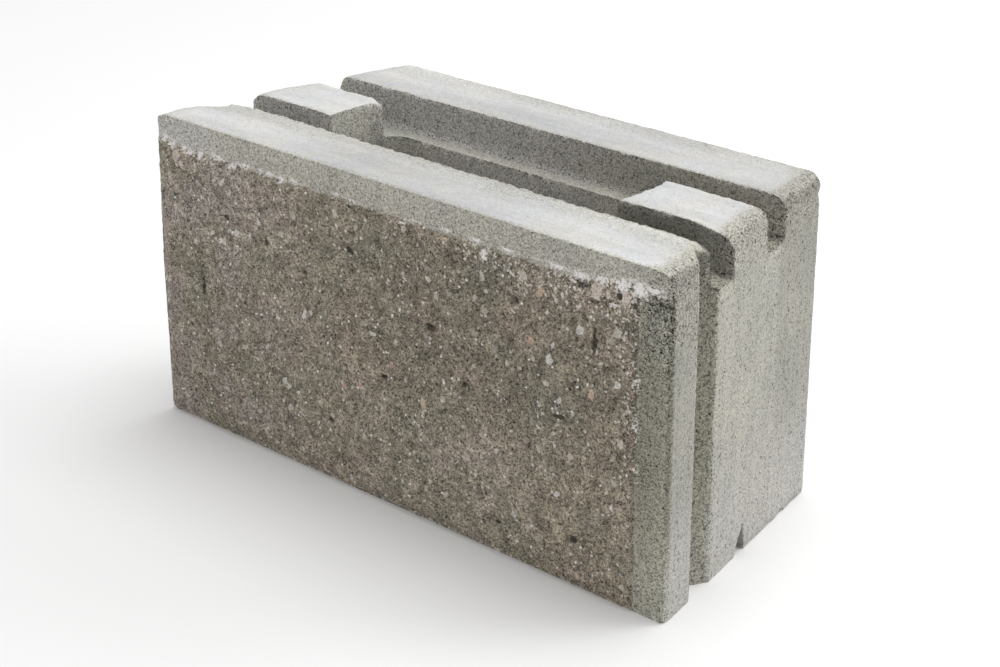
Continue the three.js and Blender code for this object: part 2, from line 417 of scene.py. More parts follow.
def nearest_stone(x, z, size, seed):
    """Distance and offset to the nearest of the stones scattered one to a square cell over the
    front, with two random numbers that go with that stone."""
    flat = np.stack([x, z], axis=-1) / size
    cell = np.floor(flat).astype(np.int64)
    best = np.full(len(x), np.inf)
    found = np.zeros((4, len(x)))
    for step in np.ndindex(3, 3):
        near = cell + step - 1
        key = np.concatenate([near, np.zeros((len(x), 1), np.int64)], axis=1)
        place = near + np.stack([scrambled(key, seed), scrambled(key, seed + 1)], axis=-1)
        offset = (flat - place) * size
        distance = np.hypot(*offset.T)
        values = np.stack([*offset.T, scrambled(key, seed + 2), scrambled(key, seed + 3)])
        found = np.where(distance < best, values, found)
        best = np.minimum(distance, best)
    return best, *found


# The break's facets, as wide and as proud as the solid has them.
FACET_SIZE, FACET_SHIFT = 12.0, 4.0
BREAK_LOWEST, BREAK_HIGHEST = 1.4, 4.3


def facet_corner(cell):
    """Where a corner of the facets lies, its grid point shifted at random each way, and how
    far it stands proud, at random between the lowest and the highest."""
    across, up, level = [scrambled(cell, seed) for seed in (1, 2, 3)]
    x = cell[..., 0] * FACET_SIZE + (2 * across - 1) * FACET_SHIFT
    z = cell[..., 1] * FACET_SIZE + (2 * up - 1) * FACET_SHIFT
    return x, z, BREAK_LOWEST + (BREAK_HIGHEST - BREAK_LOWEST) * level


def facets(x, z):
    """How far the facets stand proud at a place: the level of the flat triangle that it lies
    in, its corners' levels weighted by the areas across from them. Each cell of the grid is
    two triangles, on either side of its rising diagonal."""
    cell = np.floor(np.stack([x, z, 0 * x], axis=-1) / [FACET_SIZE, FACET_SIZE, 1]).astype(np.int64)
    level = np.full(len(x), BREAK_LOWEST)
    for step in np.ndindex(3, 3):
        for middle in ((1, 0, 0), (0, 1, 0)):
            near = cell + (step[0] - 1, step[1] - 1, 0)
            ring = [facet_corner(near + way) for way in ((0, 0, 0), middle, (1, 1, 0))]
            areas = []
            for (ax, az, _), (bx, bz, _) in zip(ring[1:] + ring[:1], ring[2:] + ring[:2]):
                areas.append((bx - ax) * (z - az) - (bz - az) * (x - ax))
            total = sum(areas)
            inside = np.min([area * np.sign(total) for area in areas], axis=0) >= -1e-6
            mean = sum(area * corner[2] for area, corner in zip(areas, ring)) / total
            level = np.where(inside, mean, level)
    return level


def rise(value, start, end):
    """An s-curve from 0 to 1 as a value goes from start to end."""
    share = np.clip((value - start) / (end - start), 0, 1)
    return share * share * (3 - 2 * share)


def hump(value, start, full, falling, end):
    """1 from full to falling, and s-curves down to 0 at the start and at the end."""
    return rise(value, start, full) * (1 - rise(value, falling, end))


def rows_of(items, name, width, kind=float):
    """All of a mesh's values of one kind, in rows of a width."""
    values = np.empty(len(items) * width, kind)
    items.foreach_get(name, values)
    return values.reshape(-1, width)


count = len(mesh.vertices)
points = rows_of(mesh.vertices, "co", 3)
normals = rows_of(mesh.vertex_normals, "vector", 3)
x, y, z = points.T

# How sharp the surface is at each point: 0 on a flat, 1 on a right-angled arris. It is what
# the mean of the unit normals of the faces round a point falls short of 1 by, over what it
# falls short by at a right angle.
RIGHT_ANGLE = 0.293
face_normals = rows_of(mesh.polygon_normals, "vector", 3)
users = rows_of(mesh.loops, "vertex_index", 1, np.int32)[:, 0]
sizes = rows_of(mesh.polygons, "loop_total", 1, np.int32)[:, 0]
per_corner = np.repeat(face_normals, sizes, axis=0)
total = np.stack([np.bincount(users, axis, count) for axis in per_corner.T], axis=-1)
sharp = (1 - np.linalg.norm(total, axis=1) / np.bincount(users, minlength=count)) / RIGHT_ANGLE
edges = rows_of(mesh.edges, "vertices", 2, np.int32)
round_about = np.bincount(edges.ravel(), minlength=count)


def spread(value):
    """The mean of a value over each point's neighbours."""
    first, second = edges.T
    total = np.bincount(first, value[second], count) + np.bincount(second, value[first], count)
    return total / round_about


arris = np.maximum(sharp, 0.9 * spread(sharp))
arris = np.maximum(arris, 1.2 * spread(arris))
edge = np.clip(arris, 0, 1)

# Where the break ends: at a wandering line under the top strip, which climbs where the strip
# is torn (a lot at its right end, a little at its left), and at a line beside the right strip.
LEFT_TEAR, RIGHT_TEAR = 2.3, 5.0
wander = 0.9 * noise(points, 9, 11) + 0.6 * noise(points, 3.5, 12)
top_line = SPLIT_TOP + RIGHT_TEAR * rise(x, 138, 168) + wander - 0.6
top_line += LEFT_TEAR * rise(-x, 178, 192)
right_line = SPLIT_RIGHT + 0.7 * wander
ledge_width = 2.2 + 8 * rise(x, 128, 160)
inside_top = rise(top_line - z, 0, ledge_width)
inside_right = rise(right_line - x, 0, 2.0)
front = y < FRONT_CORNER_RADIUS + 0.01
on_front = front & (normals[:, 1] < -0.2)
split = rise(top_line - z, -0.4, 1.0) * rise(right_line - x, -0.4, 1.0)
split = np.where(on_front, split, 0)

# How far the break stands proud: the solid's facets, fading towards the foot and the left edge.
EDGE_FADE = 14.0
from_edge = np.minimum(z, x + end_outline[:, 0].max())
proud = np.minimum(facets(x, z), SPLIT_PROUD * np.clip(from_edge / EDGE_FADE, 0, 1))

# The break's grains, each at its own level and tilted its own way, and finer roughness on
# them. Places are warped, so that no grain has a straight edge.
WARP = 1.6
GRAINS = (7.0, 0.20, 0.10, 51), (3.6, 0.30, 0.24, 61)  # size, level, tilt, seed
warp = WARP * np.stack([noise(points, 7, seed) for seed in (21, 22)])
relief = np.zeros(count)
for size, level, tilt, seed in GRAINS:
    _, across, up, first, second = nearest_stone(x + warp[0], z + warp[1], size, seed)
    lean = 2 * math.pi * first
    relief += level * (2 * second - 1) + tilt * (across * np.cos(lean) + up * np.sin(lean))
relief += 0.34 * noise(points, 3.1, 71) + 0.22 * noise(points, 1.9, 72)


def nearest(spots):
    """Distance to the nearest of some spots, each told in its own half width and height."""
    return np.min([np.hypot((x - a) / wide, (z - b) / tall) for a, b, wide, tall in spots], axis=0)


# Where pale, crushed stone shows, partly a painted highlight on the top ledge and the right step: in
# bits along the torn top edge, thinly below its right part, and in a line down the right edge and
# along the foot.
CRUSHED_AND_HIGHLIGHT = (  # x, z, half width, half height
    (-190, 182, 6, 3.0), (-183, 180, 4, 3.2), (-172, 179, 4, 2.6), (-166, 178, 4, 2.6),
    (-157, 178, 4, 3.4), (-146, 181, 4, 1.6), (-141, 180, 7, 2.6), (-127, 178, 4, 2.6),
    (-118, 180, 7, 1.8), (-104, 180, 4, 1.8), (-96, 180, 6, 2.2), (-86, 179, 6, 2.2),
    (-76, 180, 6, 2.2), (-41, 181, 4, 1.1), (-28, 180, 8, 1.0), (13, 178, 4, 1.6),
    (22, 180, 8, 1.2), (46, 181, 7, 2.2), (66, 181, 8, 2.6), (75, 175, 2.5, 5.0),
    (90, 181, 8, 2.8), (110, 183, 9, 2.4), (125, 181, 9, 4.2), (139, 180.5, 9, 4.2),
    (154, 181.5, 9, 3.8), (168, 182.5, 9, 5.4), (178, 183, 8, 6.4), (187, 184, 7, 3.8),
    (164, 171, 5, 1.6), (-129, 137, 4, 1.6), (-140, 129, 6, 1.6),
)
crushed_and_highlight = 0.22 * rise(x, 30, 90) * rise(z, 154, 178)
crushed_and_highlight += 0.14 * rise(x, 160, 176) * rise(z, 60, 120)
crushed_and_highlight *= split
edge_crumbs_and_highlight = (1 - rise(np.abs(x - right_line + 0.7), 0.4, 1.4)) * rise(z, 20, 90)
crushed_and_highlight = np.maximum(crushed_and_highlight, edge_crumbs_and_highlight * np.clip(0.28 + 1.2 * noise(points, 12, 86), 0, 0.8))
crushed_and_highlight = np.maximum(crushed_and_highlight, 0.3 * (1 - rise(z, 0.8, 3.0)))
crushed_and_highlight = np.maximum(crushed_and_highlight, 1.15 - 0.9 * nearest(CRUSHED_AND_HIGHLIGHT))
crushed_and_highlight = np.where(on_front & (z < top_line + 3.5), np.clip(crushed_and_highlight, 0, 1), 0)

# Pits, torn out under the ledge, in the break and in the strip beside it; their dark is painted
# shade.
PITS = (  # x, z, half width, half height
    (143, 176.5, 2.2, 1.0), (151, 170.5, 2.6, 1.0), (167, 177, 1.1, 1.3), (177, 174, 1.0, 1.2),
    (152, 149, 1.0, 5.0), (-159, 97, 1.0, 5.5), (34, 122, 2.4, 1.6), (-29, 151, 2.2, 1.4),
    (99, 156, 1.4, 1.4), (-2, 82, 1.8, 1.1), (-134, 145, 1.6, 1.2), (-99, 138, 1.5, 1.3),
    (138, 29, 2.0, 1.5), (-66, 128, 1.4, 0.8), (187, 181, 1.7, 0.7), (192, 178, 1.1, 0.9),
    (197, 178, 1.2, 0.6), (191, 168, 0.6, 0.7), (192, 161, 0.6, 0.6), (196, 162, 0.6, 0.7),
    (193, 154, 0.5, 0.6), (195, 171, 0.6, 0.9), (198, 166, 0.5, 0.7), (189, 174, 0.9, 0.6),
    (60, 96, 1.8, 0.7), (-172, 66, 1.4, 1.0), (128, 98, 2.2, 0.8), (-48, 40, 1.6, 0.9),
    (84, 20, 1.4, 0.8),
)
PIT_DEPTH = 1.3
nibbled = 0.3 * noise(points, 1.9, 84)
pit = np.where(on_front, np.clip(2.0 - nearest(PITS) - nibbled, 0, 1), 0)

# Stones in the break. Most stand out as low domes, and some have left their hollow. About a
# quarter of the cells hold one, and most of those are grey, buff or tan. Stone is how far
# inside a stone's outline a point lies.
GREY, BUFF, TAN, RED, DARK, HOLLOW, PINK, WHITE = 0.15, 0.40, 0.53, 0.59, 0.71, 0.80, 0.88, 0.95
STONE_CELL, STONE_SHARE = 6.5, 0.26
DOME, DENT = 0.3, -0.6
SURROUND = 1.5
distance, _, _, kind, chance = nearest_stone(x + 0.9 * warp[0], z + 0.9 * warp[1], STONE_CELL, 81)
kind = np.where(kind < 0.85, 0.58 * kind, 0.62 + 0.8 * (kind - 0.85))
radius = np.where(chance < STONE_SHARE, 0.5 + 5.6 * (STONE_SHARE - chance), -1)
chipped = 0.6 * noise(points, 1.7, 82)
stone = radius - distance - chipped
STONES = (  # x, z, half width and kind of those that show from afar
    (-178, 174, 3.2, PINK), (-173, 169, 2.2, PINK), (-136, 166, 2.0, WHITE), (-128, 32, 1.4, TAN),
    (-125, 137, 2.0, WHITE), (-139, 129, 1.6, BUFF), (-162, 123, 1.5, WHITE), (-67, 102, 2.2, WHITE),
    (-62, 104, 1.5, BUFF), (-88, 53, 2.0, WHITE), (-85, 50, 1.6, WHITE), (-76, 49, 1.6, WHITE),
    (-60, 34, 1.3, WHITE), (-192, 90, 2.0, BUFF), (-16, 174, 1.3, RED), (4, 91, 1.6, RED),
    (-36, 66, 1.6, RED), (-22, 71, 1.5, RED), (109, 137, 1.8, RED), (111, 154, 1.5, TAN),
    (29, 75, 2.3, TAN), (115, 165, 2.2, TAN), (103, 171, 2.6, BUFF), (33, 150, 1.4, WHITE),
    (-10, 106, 1.6, WHITE), (7, 105, 1.5, BUFF), (14, 148, 1.5, WHITE), (44, 82, 1.7, BUFF),
    (14, 84, 1.4, BUFF), (122, 129, 2.4, WHITE), (114, 75, 2.0, BUFF), (84, 64, 1.7, WHITE),
    (126, 82, 1.8, WHITE), (167, 73, 1.8, BUFF), (166, 58, 1.6, WHITE), (128, 53, 1.6, WHITE),
    (97, 30, 1.6, WHITE), (138, 29, 2.8, DARK), (167, 128, 2.0, WHITE), (151, 118, 2.4, TAN),
    (142, 8, 1.8, TAN), (-56, 7, 1.6, TAN), (-98, 9, 1.6, BUFF), (61, 52, 2.4, BUFF),
    (154, 143, 1.6, BUFF), (69, 150, 1.6, BUFF), (74, 162, 1.8, BUFF), (170, 96, 2.2, BUFF),
    (150, 30, 1.4, GREY), (-150, 60, 1.5, GREY), (92, 118, 1.4, BUFF), (152, 174.5, 3.9, PINK),
    (160, 176, 2.0, PINK), (171, 177, 3.0, PINK), (-181, 177, 2.0, BUFF), (-113, 138, 1.6, WHITE),
    (-136, 129, 2.2, BUFF), (-147, 132, 1.6, WHITE), (-93, 92, 2.2, WHITE), (-174, 137, 1.2, WHITE),
    (-92, 157, 1.3, WHITE), (-74, 161, 2.2, BUFF), (-38, 171, 2.2, BUFF), (-37, 164, 1.2, WHITE),
    (-80, 144, 1.3, WHITE), (-105, 149, 1.8, WHITE), (-130, 161, 1.5, WHITE), (143, 152, 2.4, WHITE),
    (167, 157, 2.6, BUFF), (162, 152, 1.1, WHITE), (129, 108, 1.8, WHITE), (120, 155, 1.2, WHITE),
    (126, 164, 1.5, WHITE), (131, 168, 1.4, WHITE), (124, 138, 1.3, WHITE),
)
for stone_x, stone_z, half_width, stone_kind in STONES:
    slant = 0.7 * math.sin(stone_x + stone_z)
    across = (x - stone_x) * math.cos(slant) + (z - stone_z) * math.sin(slant)
    along = (z - stone_z) * math.cos(slant) - (x - stone_x) * math.sin(slant)
    away = np.maximum(np.abs(across) * 1.25, np.abs(along) + 0.3 * across)
    own = 1.12 * half_width - away - chipped
    kind = np.where(own > np.maximum(stone, -SURROUND), stone_kind, kind)
    stone = np.maximum(stone, own)
    radius = np.where(own > -SURROUND, half_width, radius)
bulge = np.where(np.abs(kind - HOLLOW) < 0.04, DENT, DOME)
relief += bulge * rise(stone, 0, 1.0) * np.clip(radius, 0, 1.6) - PIT_DEPTH * pit

# The relief lies down towards the foot and the left edge, and keeps within the solid's reach.
DEEPEST, HIGHEST = -1.5, 0.97 * SPLIT_PROUD
relief *= 0.15 + 0.85 * rise(z, 0, 7) * rise(x + FRONT_LENGTH / 2, 1, 9)
height = np.clip(proud + relief * split, DEEPEST, HIGHEST) * inside_top * inside_right

# The split face's left corner is broken off square, where the mould's corner is round. The
# right corner is square at its foot alone.
flat_normal = np.maximum(np.abs(normals[:, 0]), np.abs(normals[:, 1]))
square = FRONT_CORNER_RADIUS * (1 / np.clip(flat_normal, 0.7, 1) - 1)
left_corner = front & (x < 0) & (np.abs(normals[:, 2]) < 0.6)
right_corner = front & (x > 0) & (np.abs(normals[:, 2]) < 0.6)
square *= left_corner * rise(top_line - z, 0, 90) + right_corner * (1 - rise(z, 4, 50))


def around(middle_x, middle_y, reach, fade):
    """1 over a place of the plan, and an s-curve down to 0 at a reach from it."""
    return rise(reach - np.hypot(x - middle_x, y - middle_y), 0, fade)


# Where the concrete crumbles: along the tops of both ends, less at the left one, and down the
# front shell's right corners.
crumbly = rise(z, HEIGHT - 34, HEIGHT - 8) * rise(np.abs(x), end_line(y) - 16, end_line(y) - 4)
crumbly *= 1 - 0.7 * rise(-x, 0, 100)
crumbly = np.maximum(crumbly, 0.8 * front * rise(x, 180, 186) * rise(z, 150, 172))
crumbly = np.maximum(crumbly, 0.8 * (y < RECESS_END) * rise(x, 186, 190) * rise(z, 140, 166))

# Lumps on the front shell's right rear corner and along the left web's inner edge, two small
# bulges there, and a bruise beside the break's upper right corner.
LUMP, BULGE, BRUISE = 0.5, 1.6, -0.6
lumpy = around(188, 45, 12, 8)
lumpy = np.maximum(lumpy, 0.7 * rise(7 - np.abs(x - CORE_LEFT), 0, 5) * rise(y, 45, 60))
lumpy *= rise(z, HEIGHT - 24, HEIGHT - 6)
bulging = around(CORE_LEFT, WEB_REAR, 9, 7) * rise(z, 160, 172)
bulging = np.maximum(bulging, around(183, 45, 8, 6) * rise(z, 166, 176))
bulging *= normals[:, 2] < 0.5
bruised = 1.5 - np.hypot((x - 192) / 8, (z - 179.5) / 5.5) - 0.4 * noise(points, 3, 85)
bruised = on_front * rise(bruised, 0, 0.9)

# The moulded faces are sandy and a little wavy, and pitted where they crumble.
sandy = 0.10 * noise(points, 2.6, 91) + 0.09 * noise(points, 5, 92) + 0.16 * noise(points, 34, 93)
pitted = np.minimum(noise(points, 2.8, 94) + 0.7 * noise(points, 6.5, 95), 0.25)

# How far the arrises are worn: little along the back and the foot, more where the grooves
# open, and in bites out of the right end's foot.
LEAST_WORN = 0.05
worn = 0.40 + 0.8 * np.maximum(noise(points, 11, 96), 0) + 0.9 * noise(points, 2.6, 97)
worn *= 1 - 0.6 * rise(y, DEPTH - 4, DEPTH - 1)
mouth = rise(10 - np.abs(z - HEIGHT + GROOVE_DEPTH), 0, 6) * rise(x - end_line(y), -14, -8)
mouth *= (y > SHELL_THICKNESS) & (y < REAR_SHELL)
worn += mouth * (0.6 + 2.5 * np.maximum(noise(points, 5, 100), -0.2))
foot = 1 - rise(z, 1, 4)
bitten = foot * (x > 0) * rise(y, 96, 104)
worn = worn * (1 - 0.8 * foot) + bitten * (0.7 + 8.0 * np.maximum(noise(points, 7, 99), -0.06))

outward = sandy + (0.7 + 0.5 * (y < RECESS_START)) * crumbly * pitted
outward -= edge * np.maximum(worn, LEAST_WORN)
outward += lumpy * (LUMP * noise(points, 4.2, 98) - 0.2) + BRUISE * bruised + BULGE * bulging
outward = np.where(split > 0.5, -0.15 * edge, outward)
moved = points + normals * (outward + square)[:, None]
moved[:, 1] -= np.where(on_front, height, 0)

half_length = cad_box[1][0] / MM
moved[:, 0] = np.clip(moved[:, 0], -half_length, half_length)
moved[:, 2] = np.clip(moved[:, 2], 0, HEIGHT)
moved[:, 1] = np.clip(moved[:, 1] - DEPTH + high.y / MM, low.y / MM, high.y / MM)
mesh.vertices.foreach_set("co", (moved * MM).ravel())

# The areas whose looks differ, each 1 inside and 0 outside.
on_end = (np.abs(normals[:, 0]) > 0.7) & (np.abs(x) > end_wall(y) - 4)
on_web = (y > RECESS_END) & (y < REAR_SHELL - 4)
on_rear = y > REAR_SHELL - 4
in_recess = hump(y, RECESS_START, RECESS_START + 3, RECESS_END - 2.5, RECESS_END + 0.5)
from_middle = [np.abs(y - start - GROOVE_WIDTH / 2) for start in GROOVE_FRONT]
low_enough = (z > HEIGHT - GROOVE_DEPTH - 1) & (normals[:, 2] < 0.9)
in_front_groove, in_rear_groove = [(gap < GROOVE_WIDTH / 2 + 0.1) & low_enough for gap in from_middle]
in_groove = in_front_groove | in_rear_groove
on_floor = (z < WALL_FOOT + 0.5) & (z > HEIGHT - GROOVE_DEPTH - 8) & (normals[:, 2] > 0.5)
floor_end = on_floor * rise(np.abs(x), end_line(y) - 20, end_line(y) - 3)
on_core_rear = (np.abs(y - CORE_REAR) < 1) & (z < WALL_FOOT) & (np.abs(x) < CORE_RIGHT)
on_left_web = (np.abs(x - CORE_LEFT) < 3) & (normals[:, 0] > 0.5)
side_strip = on_front * rise(x, SPLIT_RIGHT - 4, SPLIT_RIGHT + 2) * (1 - rise(z, 176, 188))
top_strip = on_front * rise(z, 172, 182)
on_top = rise(normals[:, 2], 0.6, 0.9) * (z > WALL_FOOT + 1)
across_front = on_top * (y < SHELL_THICKNESS + 1)
across_rear = on_top * (y > REAR_SHELL - 1)
across_webs = on_top - across_front - across_rear
higher = rise(z, 10, 90)
low_down = 1 - rise(z, 50, 90)

# Tone: how light or dark the surface is painted: the concrete's own tone, with painted shade in the
# grooves, the ends' recesses and the break's hollows. The strips, the ends and the grooves first; the
# ends and the side strip are darker above, and the grooves towards their right ends.
DARKEST = 0.40
tone = 1 + top_strip * (0.07 - 0.08 * rise(x, 60, 150) + 0.08 * rise(-x, 130, 170))
tone -= side_strip * (0.13 + 0.26 * higher) * (1 - 0.35 * rise(x, 188, 199))
tone -= on_end * (y < RECESS_START) * (0.01 + 0.21 * higher)
# Painted shade in the ends' recesses, deeper higher up.
tone -= on_end * in_recess * (0.19 + 0.21 * higher + 0.07 * rise(z, 130, 165))
tone -= on_end * on_web * (0.02 + 0.06 * higher)
tone -= on_end * on_rear * (0.24 * higher - 0.04 + 0.05 * rise(z, 120, 170))
tone += 0.08 * on_end * edge * (1 - crumbly)
tone -= 0.14 * bruised + 0.04 * lumpy * (x > 0)
# Painted shade inside the grooves, deeper towards their right ends and in the front groove; the
# floors are darker near the ends.
tone -= in_groove * (0.26 * rise(x, -80, 150) - 0.04) + 0.08 * in_front_groove
tone -= 0.22 * in_front_groove * rise(x, 80, 130) * (1 - 0.66 * rise(x, 158, 172))
tone += 0.02 * in_rear_groove + 0.06 * on_core_rear - 0.03 * on_floor - 0.36 * floor_end

# The break: painted shade in its hollows and painted light on its high points, darker in two wide
# patches, and paler low in its middle.
tone -= split * (0.06 + 0.03 * rise(x, -110, -60) + 0.12 * rise(x, -70, 10) * rise(z, 60, 110))
tone -= 0.06 * split * rise(-x, 60, 120) * (1 - rise(z, 80, 130))
tone += split * (0.14 * np.clip(relief, -1.2, 1.2) + 0.07 * hump(x, 0, 60, 80, 140) * low_down)

# The tops, palest at their ends, and their crumbled right ends.
tone += across_front * (0.06 * rise(x, 90, 160) - 0.14 * hump(x, -110, -20, 60, 130))
tone += across_rear * (0.05 * rise(x, 40, 120) - 0.13 * rise(x, -90, -20)) + 0.07 * across_webs
tone -= 0.16 * crumbly * rise(x, 0, 100) * rise(z, HEIGHT - 12, HEIGHT - 4)
tone = np.maximum(tone, DARKEST)

# How coarse the sand shows, and how many open pores there are.
coarse_sand = 0.8 + 0.4 * on_front + 0.62 * on_end * in_recess + 0.6 * crumbly
coarse_sand += side_strip * (0.25 + 0.5 * rise(z, 110, 165)) + 0.7 * floor_end + 0.5 * on_left_web
coarse_sand += 0.4 * in_groove + 0.3 * on_core_rear - 0.6 * lumpy * (x > 0)
pored = 0.10 - 0.08 * on_front + 0.14 * in_groove + 0.10 * on_end * in_recess + 0.15 * crumbly
pored += 0.05 * side_strip + 0.16 * floor_end + 0.08 * on_left_web + 0.13 * on_end
pored += 0.14 * on_end * (y < RECESS_START) * rise(z, 140, 166) - 0.2 * lumpy * (x > 0)

# Where it is browner, greener or cooler than plain cement.
brown = top_strip * (0.1 + 0.8 * hump(x, -160, -90, 90, 160))
brown = np.maximum(brown, 0.7 * in_groove * rise(x, -60, 60) + 0.35 * on_core_rear)
olive = (side_strip + on_end * in_recess) * (0.6 + 0.4 * rise(z, 10, 60))
olive = np.clip(olive + 0.8 * floor_end + 0.5 * crumbly + bruised, 0, 1)
cool = np.maximum(0.8 * split * rise(-x, 20, 150), 0.5 * on_end * (1 - rise(z, 20, 110)))
cool = np.maximum(cool, 0.7 * (in_groove | on_core_rear) * (1 - rise(x, 20, 100)))
cool = np.maximum(cool, 0.6 * top_strip * rise(-x, 120, 180))
cool = np.maximum(cool, 0.4 * split * hump(x, -60, 0, 70, 130) * low_down)

# The tops are wiped with slurry. It is thin along the rear half of each shell's top and along
# the front edge, so sand shows there.
trowelled = spread(spread(rise(normals[:, 2], 0.75, 0.98) * (z > WALL_FOOT)))
wavy = y + 5 * noise(points, 26, 102)
sandy_half = across_front * rise(wavy, 22, 34) + 0.86 * across_rear * rise(wavy, 150, 162)
thin_edge = across_front * (1 - rise(y, 1, 7))
trowelled -= 0.40 * sandy_half + 0.44 * thin_edge
tone += across_front * 0.02 * (1 - sandy_half) + across_rear * (0.01 + 0.04 * sandy_half)

# Each of these is stored at every point of the mesh, for the material to read.
for name, value in (
    ("split", split), ("stone", stone), ("stone_kind", kind), ("tone", tone),
    ("coarse_sand", coarse_sand), ("pored", pored), ("brown", brown), ("olive", olive),
    ("cool", cool), ("crumbly", np.clip(crumbly + 0.5 * arris, 0, 1)),
    ("trowelled", trowelled), ("crushed_and_highlight", crushed_and_highlight), ("pit", pit),
):
    stored = mesh.attributes.new(name, "FLOAT", "POINT").data
    stored.foreach_set("value", value.astype(np.float32))

block = bpy.data.objects.new("cast_block", mesh)
bpy.context.collection.objects.link(block)
SHARP_FROM = math.radians(50)
mesh.shade_smooth()
mesh.set_sharp_from_angle(angle=SHARP_FROM)

# The mesh is thinned where it is smooth. The break and the arrises keep all of their points.
TRIANGLES = 195000
thin = block.modifiers.new("thin", "DECIMATE")
group = block.vertex_groups.new(name="thin")
thinned = (~on_front | (z > SPLIT_TOP + 8) | (x > SPLIT_RIGHT + 6)) & (arris < 0.15)
group.add(np.flatnonzero(thinned).tolist(), 1.0, "REPLACE")
thin.vertex_group = "thin"
thin.ratio = TRIANGLES / (2 * len(mesh.polygons))
graph = bpy.context.evaluated_depsgraph_get()
final = bpy.data.meshes.new_from_object(block.evaluated_get(graph), depsgraph=graph)
block.modifiers.clear()
block.vertex_groups.clear()
block.data = final

# Thinning moves points by a hair, so they are held inside the solid's box once more.
places = np.clip(rows_of(final.vertices, "co", 3), *cad_box)
final.vertices.foreach_set("co", places.ravel())


# ----------------------------------------
# The concrete: grey cement and sand, pale where the top was pressed smooth, browner and full
# of cut stones where it was split.
# ----------------------------------------
concrete = bpy.data.materials.new("concrete")
concrete.use_nodes = True
tree = concrete.node_tree
shader = tree.nodes["Principled BSDF"]


def node(kind, inputs, **settings):
    """Adds a shader node. An input is a plain value, or another node's output to link."""
    made = tree.nodes.new("ShaderNode" + kind)
    for name, value in settings.items():
        setattr(made, name, value)
    for name, value in inputs.items():
        if isinstance(value, bpy.types.NodeSocket):
            tree.links.new(value, made.inputs[name])
        else:
            made.inputs[name].default_value = value
    return made


place = node("TexCoord", {}).outputs["Object"]


def carried(name):
    """A value that the mesh carries at each point."""
    return node("Attribute", {}, attribute_name=name).outputs["Fac"]


def grain(size, detail, roughness, stretch=None):
    """Noise of a grain size in millimetres, from 0 to 1 and mostly from 0.3 to 0.7."""
    where = place
    if stretch:
        where = node("Mapping", {"Vector": place, "Scale": stretch}).outputs["Vector"]
    inputs = {"Vector": where, "Scale": 1 / (size * MM), "Detail": detail, "Roughness": roughness}
    return node("TexNoise", inputs).outputs["Fac"]


def ranged(value, start, end, to_start=0.0, to_end=1.0):
    """A value carried from one range to another, and held at its ends."""
    ends = {"From Min": start, "From Max": end, "To Min": to_start, "To Max": to_end}
    return node("MapRange", {"Value": value, **ends}).outputs["Result"]


def times(first, second):
    """The product of two values, each a number or a node's output."""
    return node("Math", {0: first, 1: second}, operation="MULTIPLY").outputs[0]


def plus(first, second):
    """The sum of two values, each a number or a node's output."""
    return node("Math", {0: first, 1: second}, operation="ADD").outputs[0]


def blended(share, first, second, how="MIX"):
    """Two colours mixed by a share of the second."""
    pair = [(*colour, 1) if isinstance(colour, tuple) else colour for colour in (first, second)]
    inputs = {0: share, 6: pair[0], 7: pair[1]}
    return node("Mix", inputs, data_type="RGBA", blend_type=how).outputs[2]


def shaded(colour, value):
    """A colour made lighter or darker by a number."""
    grey = node("CombineColor", {"Red": value, "Green": value, "Blue": value}).outputs["Color"]
    return blended(1.0, colour, grey, "MULTIPLY")


def mottled(colour, noise_value, darkest, lightest):
    """A colour made darker and lighter from place to place by noise."""
    return shaded(colour, ranged(noise_value, 0.3, 0.7, darkest, lightest))


def darkened(colour, share, to):
    """A colour taken down to a part of its strength where a share is 1."""
    return shaded(colour, ranged(share, 0.0, 1.0, 1.0, to))


# Places shifted at random by up to about a millimetre, so that a cell's edges are ragged.
RAGGED_SIZE, RAGGED_SHIFT = 0.9, 1.3
ragged_noise = node("TexNoise", {"Vector": place, "Scale": 1 / (RAGGED_SIZE * MM), "Detail": 2.0})
ragged = node("VectorMath", {
    0: ragged_noise.outputs["Color"], 1: (RAGGED_SHIFT * MM,) * 3, 2: place,
}, operation="MULTIPLY_ADD").outputs["Vector"]


def ragged_cells(size, shift):
    """Scattered ragged cells of a size in millimetres: a random number from 0 to 1 for each,
    and the distance from its middle as a share of the size."""
    where = node("Mapping", {"Vector": ragged, "Location": (shift, 0, 0)}).outputs["Vector"]
    cells = node("TexVoronoi", {"Vector": where, "Scale": 1 / (size * MM)}).outputs
    return node("SeparateColor", {"Color": cells["Color"]}).outputs["Red"], cells["Distance"]


def specks(size, chance, reach, shift=0.0):
    """Specks: 1 inside the chosen share of ragged cells, out to a reach from their middles."""
    number, distance = ragged_cells(size, shift)
    chosen = ranged(plus(number, chance), 1.0, 1.02)
    return times(chosen, ranged(distance, reach * 0.75, reach, 1.0, 0.0))


def grit(size, shift=0.0):
    """A random number from 0 to 1 for each ragged cell, the same all over it."""
    return ragged_cells(size, shift)[0]


fine = grain(0.85, 2, 0.6)
sand = grain(1.8, 3, 0.6)
coarse = grain(4.5, 3, 0.65)
crumbled = carried("crumbly")

